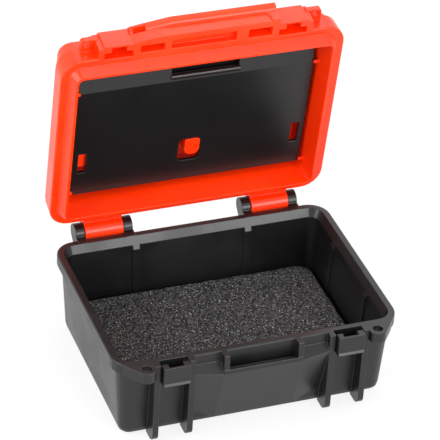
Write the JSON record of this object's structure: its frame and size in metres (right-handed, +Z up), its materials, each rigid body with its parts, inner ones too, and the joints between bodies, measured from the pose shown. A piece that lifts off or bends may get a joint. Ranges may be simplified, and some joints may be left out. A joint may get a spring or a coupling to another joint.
{
  "type": "memory card case",
  "caption": "Small hard case with a hinged lid, a card panel inside the lid and a foam pad in the base, for memory cards.",
  "frame": {"origin": "centre of the base's underside, below the middle of the rim", "axes": "+X to the right, +Y to the back, where the hinges are, +Z up"},
  "size_m": [0.13, 0.1252, 0.153],
  "materials": {
    "black_plastic": "fine satin moulded black",
    "foam": "open-cell foam, dark grey, matte",
    "steel": "plain ground pin",
    "red_plastic": "satin moulded orange-red",
    "panel_plastic": "smooth black with a soft sheen"
  },
  "bodies": {
    "base": {"base_shell": "black_plastic", "foam_pad": "foam", "hinge_pin_left": "steel", "hinge_pin_right": "steel"},
    "lid": {"lid_shell": "red_plastic", "card_panel": "panel_plastic"}
  },
  "joints": [
    {"name": "lid_hinge", "type": "hinge", "parent": "base", "child": "lid", "pos_m": [0, 0.0535, 0.0413], "axis": [-1, 0, 0], "range_deg": [-80.67, 99.33]}
  ]
}
